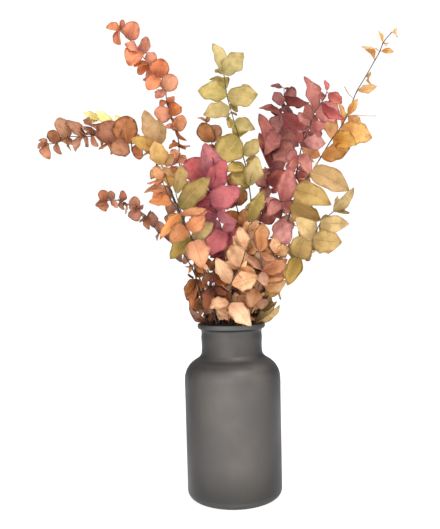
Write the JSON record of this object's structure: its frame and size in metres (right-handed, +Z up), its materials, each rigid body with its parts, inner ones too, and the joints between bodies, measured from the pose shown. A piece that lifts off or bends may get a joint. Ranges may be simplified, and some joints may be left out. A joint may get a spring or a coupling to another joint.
{
  "type": "eucalyptus branch bunch",
  "caption": "Dyed and dried eucalyptus branches in orange, amber, yellow-green, rose, burgundy and brown, standing in a dark grey frosted glass bottle",
  "frame": {"origin": "centre of the bottle's flat base, on the surface that it stands on", "axes": "+Z up along the bottle's axis, -Y the front of the bunch, +X to the right seen from the front"},
  "size_m": [0.551, 0.2273, 0.7374],
  "materials": {
    "frosted_glass": "matte",
    "lemon_leaf": "matte",
    "orange_leaf": "matte",
    "burgundy_leaf": "matte",
    "rust_leaf": "matte",
    "brown_leaf": "matte",
    "lime_leaf": "matte",
    "rust_curl_leaf": "matte",
    "amber_leaf": "matte",
    "straw_leaf": "matte",
    "rose_leaf": "matte",
    "pink_leaf": "matte",
    "honey_leaf": "matte",
    "olive_leaf": "matte",
    "umber_leaf": "matte",
    "tan_leaf": "matte",
    "chestnut_leaf": "matte",
    "orange_left_leaf": "matte",
    "apricot_leaf": "matte",
    "fawn_leaf": "matte",
    "cocoa_leaf": "matte",
    "cream_leaf": "matte",
    "peach_leaf": "matte"
  },
  "bodies": {
    "root": {"bottle": "frosted_glass", "branch_lemon": "lemon_leaf", "branch_orange_crown": "orange_leaf", "branch_burgundy": "burgundy_leaf", "branch_rust": "rust_leaf", "branch_brown_arm": "brown_leaf", "branch_lime": "lime_leaf", "branch_rust_curl": "rust_curl_leaf", "branch_amber": "amber_leaf", "branch_straw": "straw_leaf", "branch_rose": "rose_leaf", "branch_pink": "pink_leaf", "branch_honey": "honey_leaf", "branch_olive": "olive_leaf", "branch_umber": "umber_leaf", "branch_tan": "tan_leaf", "branch_chestnut": "chestnut_leaf", "branch_orange_left": "orange_left_leaf", "branch_apricot": "apricot_leaf", "branch_fawn": "fawn_leaf", "branch_cocoa": "cocoa_leaf", "branch_cream": "cream_leaf", "branch_peach": "peach_leaf"}
  },
  "joints": []
}
